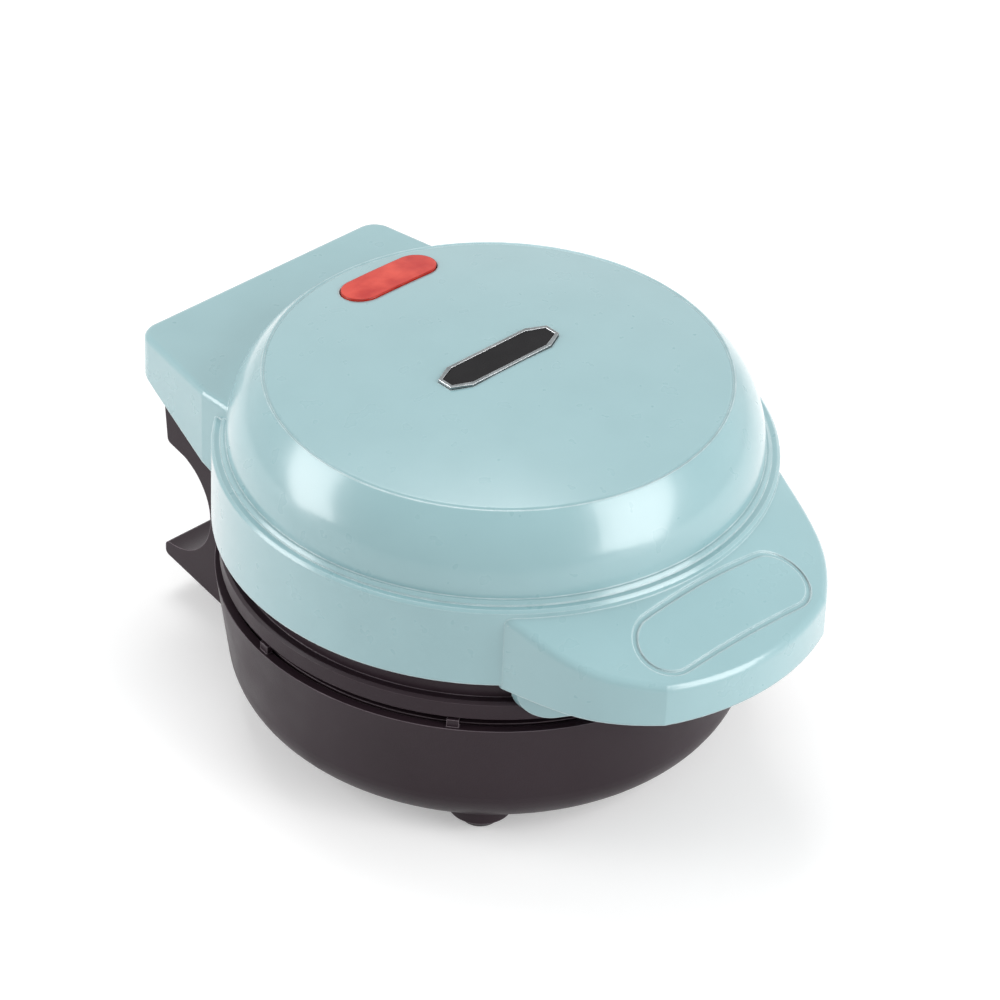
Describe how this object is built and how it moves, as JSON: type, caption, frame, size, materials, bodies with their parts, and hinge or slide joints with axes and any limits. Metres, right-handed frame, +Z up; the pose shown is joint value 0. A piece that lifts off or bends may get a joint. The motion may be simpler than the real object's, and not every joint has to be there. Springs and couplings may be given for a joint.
{
  "type": "mini donut maker",
  "caption": "Small round donut maker with a hinged aqua lid, front handle, dark base on feet, red indicator lens and two plates with ring-shaped wells.",
  "frame": {"origin": "on the table, under the middle of the outline of the closed appliance seen from above", "axes": "+X to the right of a user at the handle, +Y from the handle back to the hinge, +Z up"},
  "size_m": [0.14, 0.1831, 0.101],
  "materials": {
    "lid_gloss": "glossy aqua moulding",
    "dark_body": "dark brown-grey satin moulding with a fine grain",
    "non_stick": "dark non-stick coating",
    "steel": "plain steel",
    "pan_aluminium": "thin bright sheet",
    "brass": "turned",
    "black_rubber": "matt",
    "red_lens": "clear red, polished",
    "lamp_glass": "clear",
    "white_inner": "pale heat-proof moulding",
    "ceramic": null,
    "sleeved_wire": "woven glass sleeve",
    "black_plate": "black gloss",
    "bright_rim": "polished"
  },
  "bodies": {
    "base": {"base_shell": "dark_body", "base_frame": "dark_body", "base_screws": "steel", "hinge_tower": "dark_body", "hinge_pins": "steel", "cord_gland": "black_rubber", "terminal_block": "ceramic", "thermal_fuse": "steel", "fuse_clip": "steel", "base_wiring": "sleeved_wire", "lower_plate": "non_stick", "lower_heater": "steel", "lower_pan": "pan_aluminium", "lower_plate_screw": "steel", "lower_heater_insulators": "ceramic", "foot_rear_right": "black_rubber", "foot_rear_left": "black_rubber", "foot_front_left": "black_rubber", "foot_front_right": "black_rubber"},
    "lid": {"lid_shell": "lid_gloss", "lid_frame": "dark_body", "lid_frame_screws": "steel", "hinge_bracket": "dark_body", "hinge_bracket_screws": "steel", "hinge_bushes": "brass", "indicator_lens": "red_lens", "indicator_lamp": "lamp_glass", "lamp_holder": "white_inner", "badge_plate": "black_plate", "badge_trim": "bright_rim", "thermostat": "white_inner", "lid_wiring": "sleeved_wire", "upper_plate": "non_stick", "upper_heater": "steel", "upper_pan": "pan_aluminium", "upper_plate_screw": "steel", "upper_heater_insulators": "ceramic"}
  },
  "joints": [
    {"name": "lid_hinge", "type": "hinge", "parent": "base", "child": "lid", "pos_m": [0, 0.07725, 0.0603], "axis": [-1, 0, 0], "range_deg": [0, 88]}
  ]
}
